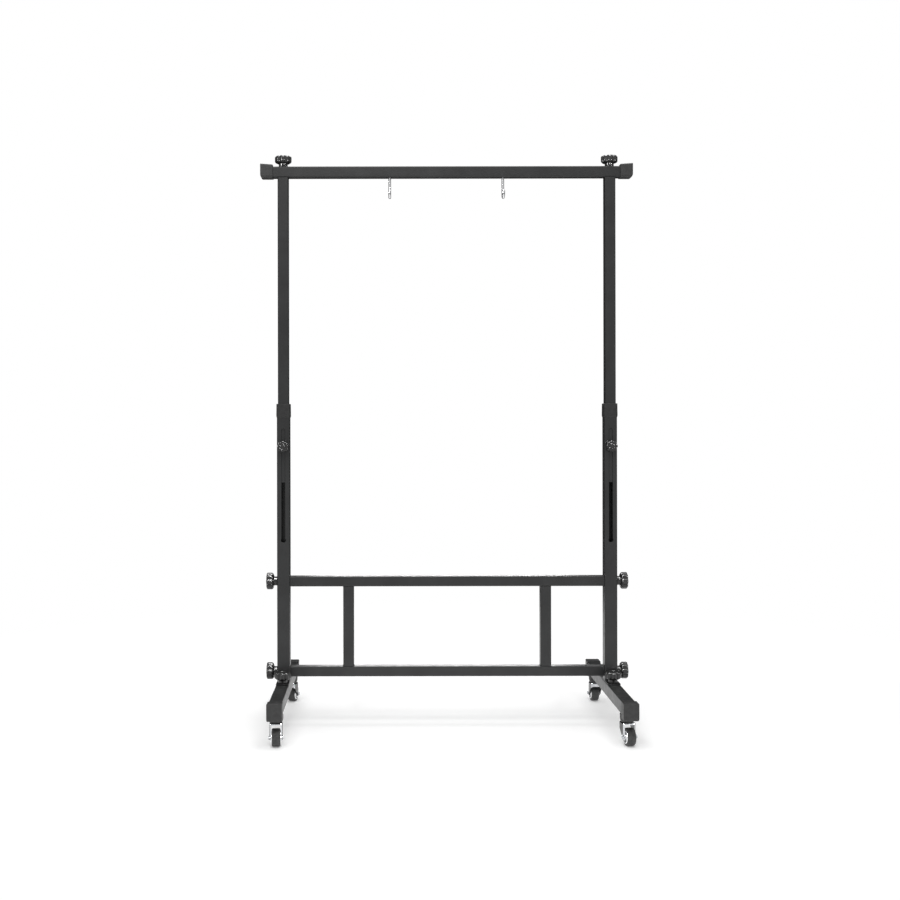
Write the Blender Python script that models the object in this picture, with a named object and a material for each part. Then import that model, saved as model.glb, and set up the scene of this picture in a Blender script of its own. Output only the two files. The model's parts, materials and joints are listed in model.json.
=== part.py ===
"""Rolling height-adjustable hanging frame in square steel tube.

Two lower posts stand on a pair of front-to-back foot beams with swivel casters.  A ladder of two
rails and two struts joins the posts.  Two upper posts telescope out of the lower ones and carry a
top bar with two J-hooks.  Star knobs hold every joint that is taken apart or adjusted.

Frame: metres, +Z up, X from the left post to the right post, -Y is the front.  The origin is on
the floor below the middle of the top bar.
"""
import math

import bmesh
import bpy
from mathutils import Matrix, Vector

# ---------------------------------------------------------------- driving dimensions (metres)
GAP = 0.0003                    # clearance between touching pieces
WALL = 0.0015                   # wall of every steel tube
CORNER = 0.003                  # outer corner radius of the steel tube

POST_X = 0.490                  # post axis from the middle
LOWER_TUBE = 0.038              # lower posts and foot beams, square
UPPER_TUBE = 0.032              # upper posts and top bar, square
RAIL_TUBE = 0.030               # rails, square; also the depth of the struts
STRUT_WIDTH = 0.032
STRUT_X = 0.2955
RAIL_HEIGHTS = {"lower": 0.154, "upper": 0.4235}

BEAM_Z = 0.1045                 # middle of the foot beams
BEAM_HALF = 0.3085              # half length of a foot beam's tube
FOOT_CAP_END = 0.3115           # outer face of a foot cap
FOOT_CAP_SIZE = 0.043
FOOT_CAP_HEIGHT = 0.0495
FOOT_CAP_RISE = -0.00325        # the cap's middle below the beam's, which leaves a stop under the beam
FOOT_CAP_DEPTH = 0.036
PLATE_THICKNESS = 0.003
PLATE_LENGTH = 0.136

CAP_CORNER = 0.004              # corner radius of plates, collars and end caps
CAP_EDGE = 0.001                # bevel round an end cap's outer face
CAP_FLOOR = 0.003               # plastic over a tube's end
END_PLATE = 0.005               # threaded plate welded into each end of a rail
OVERCUT = 0.004                 # how far a cutter reaches past the wall that it cuts

LOWER_POST_TOP = 0.952
COLLAR_SIZE = 0.0413
COLLAR_BOTTOM = 0.9145
COLLAR_TOP = 0.9555
UPPER_POST_BOTTOM = 0.720
BAR_Z = 1.6507                  # middle of the top bar
BAR_HALF = 0.5545
BAR_CAP_END = 0.5575
BAR_CAP_SIZE = 0.0415
BAR_CAP_DEPTH = 0.037
BAR_CAP_RISE = 0.0034           # the cap's middle above the bar's, which leaves a stop above the bar

SLOT_WIDTH = 0.011              # height-lock slot in each lower post's front wall
SLOT_BOTTOM = 0.5475
SLOT_TOP = 0.881
KEYHOLE_RADIUS = 0.0072
SLOT_KNOB_Z = 0.828

STUD_RADIUS = 0.004             # M8 studs of all knobs
STUD_HOLE_RADIUS = STUD_RADIUS + GAP
KNOB_LOBES = 8
BIG_KNOB = {"radius": 0.025, "neck_radius": 0.0135, "neck": 0.0105, "cone": 0.0075, "height": 0.032}
SMALL_KNOB = {"radius": 0.017, "neck_radius": 0.009, "neck": 0.006, "cone": 0.004, "height": 0.021}
BASE_KNOB_Y = 0.046

PLUG_HEIGHT = 0.020

HOOK_X = 0.170
HOOK_WIRE_RADIUS = 0.004
HOOK_BEND_RADIUS = 0.014
HOOK_BOTTOM = 1.569
HOOK_TIP_RISE = 0.007           # straight end above the middle of the bend
HOOK_NUT_HEIGHT = 0.0065
HOOK_NUT_RADIUS = 0.0075        # across the corners, halved

STEM_Y = 0.252                  # caster swivel axis from the post axis
STEM_RADIUS = 0.005
STEM_LENGTH = 0.0225            # threaded part above the bearing cup
CUP_BOTTOM = 0.0636
CUP_RADIUS = 0.0205
CUP_TAPER = 0.010               # height of the cup's conical lower part
CUP_RIM = 0.0178                # radius of the cup's lower rim
KING_RADIUS = 0.004             # riveted pin that holds the fork to the stem
RIVET_RADIUS = 0.0068
RIVET_HEIGHT = 0.0033

TRAIL = 0.018                   # wheel axle from the swivel axis
WHEEL_RADIUS = 0.025
WHEEL_WIDTH = 0.024
TREAD_BEVEL_ALONG = 0.005       # bevel between the tread and the tyre's side
TREAD_BEVEL_DOWN = 0.002
HUB_RADIUS = 0.0188
HUB_BOSS = 0.0075
HUB_DISH = 0.0009               # boss stands proud of the rim
AXLE_RADIUS = 0.003
AXLE_HEAD_RADIUS = 0.0055
AXLE_HEAD = 0.0032

FORK_TOP = 0.0632
FORK_CROWN_UNDER = 0.0575
FORK_BEND = 0.005               # outer radius between the crown and the legs
FORK_INNER = 0.028
FORK_SHEET = 0.0045             # thickness across a leg with its rolled edge
FORK_BACK = -0.0165             # crown edges behind and ahead of the swivel axis
FORK_FRONT = 0.0185
FORK_SKIRT = 0.010              # depth of the crown's side, below its top
FORK_TIP_RADIUS = 0.0085        # round end of each leg, about the axle

# Heading of each caster as it stands: the way its wheel lies from its swivel axis, in degrees.
CASTERS = {
    "front_left": (-1, -1, -84.4),
    "front_right": (1, -1, -82.0),
    "rear_left": (-1, 1, 75.5),
    "rear_right": (1, 1, 93.5),
}

BEAM_TOP = BEAM_Z + LOWER_TUBE / 2
BEAM_BOTTOM = BEAM_Z - LOWER_TUBE / 2
PLATE_TOP = BEAM_TOP + GAP + PLATE_THICKNESS
BAR_TOP = BAR_Z + UPPER_TUBE / 2
BAR_BOTTOM = BAR_Z - UPPER_TUBE / 2
SIDES = {"left": -1, "right": 1}
ENDS = {"front": -1, "rear": 1}

for old in list(bpy.data.objects):
    bpy.data.objects.remove(old, do_unlink=True)

MATERIALS = {}


def material(name, colour, roughness, metallic):
    """A plain Principled BSDF material, made once for each name."""
    if name not in MATERIALS:
        made = bpy.data.materials.new(name)
        made.use_nodes = True
        shader = made.node_tree.nodes["Principled BSDF"]
        shader.inputs["Base Color"].default_value = (*colour, 1.0)
        shader.inputs["Roughness"].default_value = roughness
        shader.inputs["Metallic"].default_value = metallic
        MATERIALS[name] = made
    return MATERIALS[name]


def paint():
    return material("black_paint", (0.045, 0.046, 0.048), 0.38, 0.0)


def cap_plastic():
    return material("matte_plastic", (0.055, 0.055, 0.057), 0.6, 0.0)


def knob_plastic():
    return material("gloss_plastic", (0.02, 0.02, 0.021), 0.22, 0.0)


def chrome():
    return material("chrome", (0.78, 0.79, 0.8), 0.12, 1.0)


def zinc():
    return material("zinc", (0.6, 0.61, 0.62), 0.3, 1.0)


def tyre_rubber():
    return material("tyre_rubber", (0.018, 0.018, 0.019), 0.55, 0.0)


# ---------------------------------------------------------------- mesh tools
def rounded_square(size_x, size_y, radius, steps=2):
    """Outline of a rectangle with round corners, anticlockwise, centred on the origin."""
    points = []
    for corner, (sign_x, sign_y) in enumerate(((1, 1), (-1, 1), (-1, -1), (1, -1))):
        middle = Vector((sign_x * (size_x / 2 - radius), sign_y * (size_y / 2 - radius)))
        points += arc(middle, radius, 90 * corner, 90, steps)
    return points


def circle(radius, count):
    turn = math.tau / count
    return [Vector((radius * math.cos(turn * i), radius * math.sin(turn * i))) for i in range(count)]


def arc(middle, radius, start, sweep, steps):
    """Points on an arc, both ends included; the angles are in degrees."""
    points = []
    for step in range(steps + 1):
        angle = math.radians(start + sweep * step / steps)
        points.append(middle + radius * Vector((math.cos(angle), math.sin(angle))))
    return points


def raised(outline, rise):
    return [point + Vector((0, rise)) for point in outline]


def ring(outline, z):
    return [Vector((point.x, point.y, z)) for point in outline]


def loft(name, rings, finish, closed=False, smooth=True):
    """Join rings of equal length into one solid; the ends are capped unless the loop closes."""
    mesh = bmesh.new()
    loops = [[mesh.verts.new(point) for point in points] for points in rings]
    pairs = list(zip(loops, loops[1:]))
    if closed:
        pairs.append((loops[-1], loops[0]))
    else:
        mesh.faces.new(loops[0][::-1])
        mesh.faces.new(loops[-1])
    for lower, upper in pairs:
        count = len(lower)
        for i in range(count):
            j = (i + 1) % count
            mesh.faces.new((lower[i], lower[j], upper[j], upper[i]))
    bmesh.ops.recalc_face_normals(mesh, faces=mesh.faces[:])
    data = bpy.data.meshes.new(name)
    mesh.to_mesh(data)
    mesh.free()
    if smooth:
        data.shade_smooth()
        data.set_sharp_from_angle(angle=math.radians(35))
    data.materials.append(finish)
    return data


def add(name, data, matrix=None):
    """Put one object with this mesh into the scene."""
    made = bpy.data.objects.new(name, data)
    bpy.context.scene.collection.objects.link(made)
    if matrix is not None:
        made.matrix_world = matrix
    return made


def axes(origin, x_axis, z_axis):
    """Placement whose local Z and X run along the given world directions."""
    z_axis = Vector(z_axis).normalized()
    x_axis = Vector(x_axis).normalized()
    y_axis = z_axis.cross(x_axis)
    turn = Matrix((x_axis, y_axis, z_axis)).transposed().to_4x4()
    return Matrix.Translation(Vector(origin)) @ turn


def cutter(name, data, matrix=None):
    made = add(name, data, matrix)
    made.hide_render = True
    made.display_type = "WIRE"
    return made


def cut(target, tool, operation="DIFFERENCE"):
    step = target.modifiers.new(tool.name, "BOOLEAN")
    step.operation = operation
    step.solver = "EXACT"
    step.object = tool


def drill(target, name, origin, direction, radius, length, count=12):
    """Cut a round hole whose axis starts at origin and runs length along direction."""
    direction = Vector(direction).normalized()
    side = Vector((0, 0, 1)) if abs(direction.z) < 0.9 else Vector((1, 0, 0))
    tool = loft(name, [ring(circle(radius, count), 0), ring(circle(radius, count), length)],
                paint(), smooth=False)
    cut(target, cutter(name, tool, axes(origin, side, direction)))


def square_tube(name, size_x, size_y, start, end):
    """Open painted tube along local Z."""
    outer = rounded_square(size_x, size_y, CORNER)
    inner = rounded_square(size_x - 2 * WALL, size_y - 2 * WALL, CORNER - WALL)
    rings = [ring(outer, start), ring(outer, end), ring(inner, end), ring(inner, start)]
    return loft(name, rings, paint(), closed=True)


# ---------------------------------------------------------------- lower frame
def lower_post(side, sign):
    """Outer telescope tube with its height-lock slot, keyhole and stud holes."""
    name = f"lower_post_{side}"
    data = square_tube(name, LOWER_TUBE, LOWER_TUBE, PLATE_TOP + GAP, LOWER_POST_TOP)
    post = add(name, data, Matrix.Translation((sign * POST_X, 0, 0)))
    front = -LOWER_TUBE / 2
    half = SLOT_WIDTH / 2
    slot = arc(Vector((0, SLOT_TOP - half)), half, 0, 180, 8)
    slot += arc(Vector((0, SLOT_BOTTOM)), half, 180, 180, 8)
    tool = loft(f"slot_cut_{side}", [ring(slot, -OVERCUT), ring(slot, OVERCUT)], paint(), smooth=False)
    placement = axes((sign * POST_X, front, 0), (1, 0, 0), (0, -1, 0))
    cut(post, cutter(f"slot_cut_{side}", tool, placement))
    drill(post, f"keyhole_cut_{side}", (sign * POST_X, front - OVERCUT, SLOT_BOTTOM), (0, 1, 0),
          KEYHOLE_RADIUS, 2 * OVERCUT)
    reach = LOWER_TUBE / 2 + OVERCUT
    for level, height in RAIL_HEIGHTS.items():
        drill(post, f"{level}_stud_cut_{side}", (sign * POST_X - reach, 0, height), (1, 0, 0),
              STUD_HOLE_RADIUS, 2 * reach)


def foot_plate(side, sign):
    """Steel plate under the post that the base knobs clamp to the foot beam."""
    name = f"foot_plate_{side}"
    outline = rounded_square(LOWER_TUBE, PLATE_LENGTH, CAP_CORNER)
    data = loft(name, [ring(outline, BEAM_TOP + GAP), ring(outline, PLATE_TOP)], paint())
    plate = add(name, data, Matrix.Translation((sign * POST_X, 0, 0)))
    for end, way in ENDS.items():
        drill(plate, f"plate_cut_{end}_{side}", (sign * POST_X, way * BASE_KNOB_Y, PLATE_TOP - 2 * OVERCUT),
              (0, 0, 1), STUD_HOLE_RADIUS, 3 * OVERCUT)


def collar(side, sign):
    """Guide collar pushed over the top of the lower post, with a lip round the upper post."""
    name = f"collar_{side}"
    outer = rounded_square(COLLAR_SIZE, COLLAR_SIZE, CAP_CORNER)
    around_lower = rounded_square(LOWER_TUBE + 2 * GAP, LOWER_TUBE + 2 * GAP, CORNER + GAP)
    around_upper = rounded_square(UPPER_TUBE + 2 * GAP, UPPER_TUBE + 2 * GAP, CORNER + GAP)
    seat = LOWER_POST_TOP + GAP
    rings = [
        ring(outer, COLLAR_BOTTOM), ring(outer, COLLAR_TOP), ring(around_upper, COLLAR_TOP),
        ring(around_upper, seat), ring(around_lower, seat), ring(around_lower, COLLAR_BOTTOM),
    ]
    add(name, loft(name, rings, cap_plastic(), closed=True), Matrix.Translation((sign * POST_X, 0, 0)))


def rail(level, height):
    """Cross tube with a welded, threaded plate closing each end."""
    name = f"{level}_rail"
    half = POST_X - LOWER_TUBE / 2 - GAP
    outline = rounded_square(RAIL_TUBE, RAIL_TUBE, CORNER)
    bore = rounded_square(RAIL_TUBE - 2 * WALL, RAIL_TUBE - 2 * WALL, CORNER - WALL)
    along = axes((0, 0, height), (0, 1, 0), (1, 0, 0))
    made = add(name, loft(name, [ring(outline, -half), ring(outline, half)], paint()), along)
    hollow = [ring(bore, END_PLATE - half), ring(bore, half - END_PLATE)]
    tool = loft(f"{level}_rail_bore", hollow, paint(), smooth=False)
    cut(made, cutter(f"{level}_rail_bore", tool, along))
    for side, sign in SIDES.items():
        drill(made, f"{level}_rail_thread_{side}", (sign * (half - END_PLATE - OVERCUT), 0, height),
              (sign, 0, 0), STUD_HOLE_RADIUS, END_PLATE + 2 * OVERCUT)


def strut(side, sign):
    """Upright between the two rails."""
    name = f"strut_{side}"
    start = RAIL_HEIGHTS["lower"] + RAIL_TUBE / 2 + GAP
    end = RAIL_HEIGHTS["upper"] - RAIL_TUBE / 2 - GAP
    data = square_tube(name, STRUT_WIDTH, RAIL_TUBE, start, end)
    add(name, data, Matrix.Translation((sign * STRUT_X, 0, 0)))


def foot_beam(side, sign):
    """Front-to-back tube on two casters."""
    name = f"foot_beam_{side}"
    data = square_tube(name, LOWER_TUBE, LOWER_TUBE, -BEAM_HALF, BEAM_HALF)
    beam = add(name, data, axes((sign * POST_X, 0, BEAM_Z), (-1, 0, 0), (0, 1, 0)))
    for end, way in ENDS.items():
        drill(beam, f"beam_stud_cut_{end}_{side}", (sign * POST_X, way * BASE_KNOB_Y, BEAM_TOP - OVERCUT),
              (0, 0, 1), STUD_HOLE_RADIUS, 2 * OVERCUT)
        drill(beam, f"beam_stem_cut_{end}_{side}", (sign * POST_X, way * STEM_Y, BEAM_BOTTOM - OVERCUT),
              (0, 0, 1), STEM_RADIUS + GAP, 2 * OVERCUT)


def end_cap(name, tube, width, height, depth, placement, rise):
    """Plastic cap over a tube's end: local Z runs outwards and 0 is the cap's outer face.

    The cap's middle sits above or below the tube's, by rise along local Y, and only the far side
    is moulded proud: its near side keeps its level from the mouth to the face.
    """
    bore = rounded_square(tube + 2 * GAP, tube + 2 * GAP, CORNER + GAP)
    eased = rounded_square(width - 2 * CAP_EDGE, height - 2 * CAP_EDGE, CAP_CORNER)
    mouth = raised(eased, rise - math.copysign(CAP_EDGE, rise))
    body = raised(rounded_square(width, height, CAP_CORNER), rise)
    face = raised(eased, rise)
    rings = [
        ring(bore, GAP - CAP_FLOOR), ring(bore, -depth), ring(mouth, -depth), ring(body, -depth / 3),
        ring(body, -CAP_EDGE), ring(face, 0),
    ]
    add(name, loft(name, rings, cap_plastic()), placement)


# ---------------------------------------------------------------- knobs
def star(radius, depth):
    """Two points for each lobe: one on the crest and one in the hollow."""
    points = []
    count = KNOB_LOBES * 2
    for i in range(count):
        reach = radius if i % 2 == 0 else radius - depth
        angle = math.tau * i / count
        points.append(Vector((reach * math.cos(angle), reach * math.sin(angle))))
    return points


def knob_mesh(name, radius, neck_radius, neck, cone, height, stud):
    """Star knob with its moulded-in stud; local Z runs out of the clamped face."""
    count = KNOB_LOBES * 2
    depth = radius * 0.12
    edge = radius * 0.07
    rings = [
        ring(circle(STUD_RADIUS, count), -stud), ring(circle(STUD_RADIUS, count), 0),
        ring(circle(neck_radius, count), 0), ring(circle(neck_radius, count), neck),
        ring(star(radius - edge, depth), neck + cone), ring(star(radius, depth), neck + cone + edge),
        ring(star(radius, depth), height - edge), ring(star(radius - edge, depth), height),
    ]
    return loft(name, rings, knob_plastic())


def knobs():
    """Every star knob, each with its origin on its own screw axis."""
    base = knob_mesh("base_knob", stud=0.026, **BIG_KNOB)
    side_knob = knob_mesh("side_knob", stud=LOWER_TUBE + 0.012, **BIG_KNOB)
    top = knob_mesh("top_knob", stud=UPPER_TUBE + 0.016, **BIG_KNOB)
    small = knob_mesh("slot_knob", stud=0.010, **SMALL_KNOB)
    for side, sign in SIDES.items():
        x = sign * POST_X
        for end, way in ENDS.items():
            add(f"base_knob_{end}_{side}", base,
                axes((x, way * BASE_KNOB_Y, PLATE_TOP + GAP), (1, 0, 0), (0, 0, 1)))
        for level, height in RAIL_HEIGHTS.items():
            add(f"side_knob_{level}_{side}", side_knob,
                axes((x + sign * (LOWER_TUBE / 2 + GAP), 0, height), (0, 1, 0), (sign, 0, 0)))
        add(f"top_knob_{side}", top, axes((x, 0, BAR_TOP + GAP), (1, 0, 0), (0, 0, 1)))
        add(f"slot_knob_{side}", small,
            axes((x, -LOWER_TUBE / 2 - GAP, SLOT_KNOB_Z), (1, 0, 0), (0, -1, 0)))


# ---------------------------------------------------------------- upper frame
def upper_post(side, sign):
    """Inner telescope tube; its front hole takes the slot knob's stud."""
    name = f"upper_post_{side}"
    data = square_tube(name, UPPER_TUBE, UPPER_TUBE, UPPER_POST_BOTTOM, BAR_BOTTOM - GAP)
    post = add(name, data, Matrix.Translation((sign * POST_X, 0, 0)))
    drill(post, f"lock_cut_{side}", (sign * POST_X, -UPPER_TUBE / 2 - OVERCUT, SLOT_KNOB_Z), (0, 1, 0),
          STUD_HOLE_RADIUS, 2 * OVERCUT)


def post_plug(side, sign):
    """Threaded insert in the top of the upper post, which the top knob screws into."""
    name = f"post_plug_{side}"
    size = UPPER_TUBE - 2 * WALL - 2 * GAP
    outline = rounded_square(size, size, CORNER - WALL)
    top = BAR_BOTTOM - GAP
    data = loft(name, [ring(outline, top - PLUG_HEIGHT), ring(outline, top)], zinc())
    plug = add(name, data, Matrix.Translation((sign * POST_X, 0, 0)))
    drill(plug, f"plug_cut_{side}", (sign * POST_X, 0, top - PLUG_HEIGHT - OVERCUT), (0, 0, 1),
          STUD_HOLE_RADIUS, PLUG_HEIGHT + 2 * OVERCUT)


def top_bar():
    """Bar across both upper posts, drilled for the top knobs and the hooks."""
    data = square_tube("top_bar", UPPER_TUBE, UPPER_TUBE, -BAR_HALF, BAR_HALF)
    bar = add("top_bar", data, axes((0, 0, BAR_Z), (0, 1, 0), (1, 0, 0)))
    for side, sign in SIDES.items():
        drill(bar, f"bar_stud_cut_{side}", (sign * POST_X, 0, BAR_BOTTOM - OVERCUT), (0, 0, 1),
              STUD_HOLE_RADIUS, UPPER_TUBE + 2 * OVERCUT)
        drill(bar, f"bar_hook_cut_{side}", (sign * HOOK_X, 0, BAR_BOTTOM - OVERCUT), (0, 0, 1),
              HOOK_WIRE_RADIUS + GAP, 2 * OVERCUT)


def hook(side, sign):
    """J-hook in round bar: its shank screws up into the bar and its bowl opens to the front."""
    name = f"hook_{side}"
    middle_z = HOOK_BOTTOM + HOOK_WIRE_RADIUS + HOOK_BEND_RADIUS
    shank_top = BAR_BOTTOM + WALL + HOOK_NUT_HEIGHT + 0.003
    tip_y = -2 * HOOK_BEND_RADIUS
    tip_z = middle_z + HOOK_TIP_RISE
    chamfer = HOOK_WIRE_RADIUS / 2
    route = [(0, shank_top, 0, HOOK_WIRE_RADIUS)]
    bend_steps = 8
    for step in range(bend_steps + 1):
        turn = math.pi * step / bend_steps
        y = HOOK_BEND_RADIUS * (math.cos(turn) - 1)
        route.append((y, middle_z - HOOK_BEND_RADIUS * math.sin(turn), turn, HOOK_WIRE_RADIUS))
    route.append((tip_y, tip_z - chamfer, math.pi, HOOK_WIRE_RADIUS))
    route.append((tip_y, tip_z, math.pi, HOOK_WIRE_RADIUS - chamfer))
    rings = []
    for y, z, turn, radius in route:
        placement = Matrix.Translation((0, y, z)) @ Matrix.Rotation(-turn, 4, "X")
        rings.append([placement @ point for point in ring(circle(radius, 10), 0)])
    add(name, loft(name, rings, chrome()), Matrix.Translation((sign * HOOK_X, 0, 0)))


def hook_nut(side, sign):
    """Hexagon nut inside the bar that the hook's shank screws through."""
    name = f"hook_nut_{side}"
    start = BAR_BOTTOM + WALL + GAP
    outer = circle(HOOK_NUT_RADIUS, 6)
    data = loft(name, [ring(outer, start), ring(outer, start + HOOK_NUT_HEIGHT)], zinc(), smooth=False)
    nut = add(name, data, Matrix.Translation((sign * HOOK_X, 0, 0)))
    drill(nut, f"nut_cut_{side}", (sign * HOOK_X, 0, start - OVERCUT), (0, 0, 1),
          HOOK_WIRE_RADIUS + GAP, HOOK_NUT_HEIGHT + 2 * OVERCUT)


# ---------------------------------------------------------------- casters
def turned(name, profile, finish, count=32, closed=False):
    """Solid of revolution about local Z; the profile is (radius, z) from one end to the other."""
    rings = [ring(circle(radius, count), z) for radius, z in profile]
    return loft(name, rings, finish, closed=closed)


def caster_stem_mesh():
    """Threaded stem, bearing cup and riveted kingpin in one; local Z = 0 is the floor."""
    cup_top = BEAM_BOTTOM - GAP
    rivet_top = FORK_CROWN_UNDER - GAP
    return turned("caster_stem", [
        (RIVET_RADIUS, rivet_top - RIVET_HEIGHT), (RIVET_RADIUS, rivet_top), (KING_RADIUS, rivet_top),
        (KING_RADIUS, CUP_BOTTOM), (CUP_RIM, CUP_BOTTOM), (CUP_RADIUS, CUP_BOTTOM + CUP_TAPER),
        (CUP_RADIUS, cup_top), (STEM_RADIUS, cup_top), (STEM_RADIUS, cup_top + STEM_LENGTH),
    ], zinc(), count=16)


def fork_arch():
    """Cross-section of the fork's sheet, seen along the rolling direction: (across, height)."""
    outer = FORK_INNER / 2 + FORK_SHEET
    corner = Vector((outer - FORK_BEND, FORK_TOP - FORK_BEND))
    foot = WHEEL_RADIUS - 2 * FORK_TIP_RADIUS
    right = [Vector((outer, foot))] + arc(corner, FORK_BEND, 0, 90, 2)
    left = [Vector((-point.x, point.y)) for point in reversed(right)]
    inner = [Vector((-FORK_INNER / 2, foot)), Vector((-FORK_INNER / 2, FORK_CROWN_UNDER)),
             Vector((FORK_INNER / 2, FORK_CROWN_UNDER)), Vector((FORK_INNER / 2, foot))]
    return right + left + inner


def fork_side():
    """Side outline of the fork: a crown that narrows to a round leg end at the axle."""
    above = FORK_TOP + OVERCUT
    skirt = FORK_TOP - FORK_SKIRT
    outline = [Vector((FORK_BACK, above)), Vector((FORK_BACK, skirt))]
    outline += arc(Vector((TRAIL, WHEEL_RADIUS)), FORK_TIP_RADIUS, 205, 160, 8)
    return outline + [Vector((FORK_FRONT, skirt)), Vector((FORK_FRONT, above))]


def caster_fork(name, placement):
    """Pressed fork: an arch of sheet trimmed to its side outline; local Y points at the wheel."""
    reach = FORK_INNER / 2 + FORK_SHEET + OVERCUT
    sweep = [[Vector((p.x, y, p.y)) for p in fork_arch()] for y in (-2 * FORK_INNER, 2 * FORK_INNER)]
    fork = add(name, loft(name, sweep, chrome()), placement)
    side = [[Vector((x, p.x, p.y)) for p in fork_side()] for x in (-reach, reach)]
    trim = loft(f"{name}_trim", side, chrome(), smooth=False)
    cut(fork, cutter(f"{name}_trim", trim, placement), "INTERSECT")
    drill(fork, f"{name}_king_cut", placement @ Vector((0, 0, FORK_CROWN_UNDER - OVERCUT)), (0, 0, 1),
          KING_RADIUS + GAP, 3 * OVERCUT)
    across = placement.to_3x3() @ Vector((1, 0, 0))
    drill(fork, f"{name}_axle_cut", placement @ Vector((-reach, TRAIL, WHEEL_RADIUS)), across,
          AXLE_RADIUS + GAP, 2 * reach)


def wheel_meshes():
    """Tyre, hub and axle bolt, all turned about local Z, the axle."""
    half = WHEEL_WIDTH / 2
    side_radius = WHEEL_RADIUS - TREAD_BEVEL_DOWN
    seat = HUB_RADIUS + GAP
    tyre = turned("tyre", [
        (seat, -half), (side_radius, -half), (WHEEL_RADIUS, -half + TREAD_BEVEL_ALONG),
        (WHEEL_RADIUS, half - TREAD_BEVEL_ALONG), (side_radius, half), (seat, half),
    ], tyre_rubber(), closed=True)
    bore = AXLE_RADIUS + GAP
    boss = half + HUB_DISH / 2
    rim = half - HUB_DISH / 2
    hub = turned("wheel_hub", [
        (bore, -boss), (HUB_BOSS, -boss), (HUB_RADIUS, -rim),
        (HUB_RADIUS, rim), (HUB_BOSS, boss), (bore, boss),
    ], chrome(), count=20, closed=True)
    reach = FORK_INNER / 2 + FORK_SHEET + GAP
    axle = turned("caster_axle", [
        (AXLE_HEAD_RADIUS, -reach - AXLE_HEAD), (AXLE_HEAD_RADIUS, -reach), (AXLE_RADIUS, -reach),
        (AXLE_RADIUS, reach), (AXLE_HEAD_RADIUS, reach), (AXLE_HEAD_RADIUS, reach + AXLE_HEAD),
    ], zinc(), count=12)
    return tyre, hub, axle


def casters():
    stem = caster_stem_mesh()
    tyre, hub, axle = wheel_meshes()
    for place, (sign, way, heading) in CASTERS.items():
        swivel = Matrix.Translation((sign * POST_X, way * STEM_Y, 0))
        facing = swivel @ Matrix.Rotation(math.radians(heading - 90), 4, "Z")
        add(f"caster_stem_{place}", stem, swivel)
        caster_fork(f"caster_fork_{place}", facing)
        wheel = facing @ Matrix.Translation((0, TRAIL, WHEEL_RADIUS))
        spin = wheel @ Matrix.Rotation(math.radians(90), 4, "Y")
        add(f"caster_tyre_{place}", tyre, spin)
        add(f"caster_hub_{place}", hub, spin)
        add(f"caster_axle_{place}", axle, spin)


# ---------------------------------------------------------------- the whole frame
for side, sign in SIDES.items():
    lower_post(side, sign)
    foot_plate(side, sign)
    collar(side, sign)
    strut(side, sign)
    foot_beam(side, sign)
    for end, way in ENDS.items():
        end_cap(f"foot_cap_{end}_{side}", LOWER_TUBE, FOOT_CAP_SIZE, FOOT_CAP_HEIGHT, FOOT_CAP_DEPTH,
                axes((sign * POST_X, way * FOOT_CAP_END, BEAM_Z), (-way, 0, 0), (0, way, 0)),
                FOOT_CAP_RISE)
    upper_post(side, sign)
    post_plug(side, sign)
    end_cap(f"bar_cap_{side}", UPPER_TUBE, BAR_CAP_SIZE, BAR_CAP_SIZE, BAR_CAP_DEPTH,
            axes((sign * BAR_CAP_END, 0, BAR_Z), (0, sign, 0), (sign, 0, 0)), BAR_CAP_RISE)
    hook(side, sign)
    hook_nut(side, sign)
for level, height in RAIL_HEIGHTS.items():
    rail(level, height)
top_bar()
knobs()
casters()
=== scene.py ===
"""Looks of the rolling hanging frame: fine shapes, finishes, floor, light and camera.

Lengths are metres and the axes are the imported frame's.  Every piece is placed from its node's box.
"""
import json
import math

import bmesh
import bpy
from mathutils import Matrix, Vector

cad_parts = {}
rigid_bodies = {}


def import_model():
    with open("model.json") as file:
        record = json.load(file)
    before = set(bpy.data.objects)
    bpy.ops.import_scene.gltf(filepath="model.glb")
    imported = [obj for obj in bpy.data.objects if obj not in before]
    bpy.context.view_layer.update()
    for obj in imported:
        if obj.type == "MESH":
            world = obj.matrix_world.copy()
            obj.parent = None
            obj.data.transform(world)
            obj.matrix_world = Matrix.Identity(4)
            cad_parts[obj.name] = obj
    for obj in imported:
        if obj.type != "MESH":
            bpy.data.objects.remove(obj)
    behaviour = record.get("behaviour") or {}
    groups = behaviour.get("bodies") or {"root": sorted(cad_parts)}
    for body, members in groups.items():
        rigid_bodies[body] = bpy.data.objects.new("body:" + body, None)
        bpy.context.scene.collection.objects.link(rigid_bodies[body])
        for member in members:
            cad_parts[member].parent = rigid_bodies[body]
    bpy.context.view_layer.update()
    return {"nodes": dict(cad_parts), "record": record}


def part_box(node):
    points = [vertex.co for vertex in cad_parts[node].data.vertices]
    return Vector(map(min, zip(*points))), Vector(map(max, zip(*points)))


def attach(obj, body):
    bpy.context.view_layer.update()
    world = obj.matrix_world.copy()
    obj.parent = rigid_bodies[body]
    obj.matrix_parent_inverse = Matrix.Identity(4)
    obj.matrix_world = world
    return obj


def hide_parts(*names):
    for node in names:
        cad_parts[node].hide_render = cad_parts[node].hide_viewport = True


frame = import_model()
scene = bpy.context.scene
BODIES = frame["record"]["behaviour"]["bodies"]
BODY_OF = {node: body for body, nodes in BODIES.items() for node in nodes}

SIDES = {"left": -1, "right": 1}
ENDS = {"front": -1, "rear": 1}
LEVELS = ("lower", "upper")
X_AXIS = Vector((1, 0, 0))
Y_AXIS = Vector((0, 1, 0))
Z_AXIS = Vector((0, 0, 1))

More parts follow.
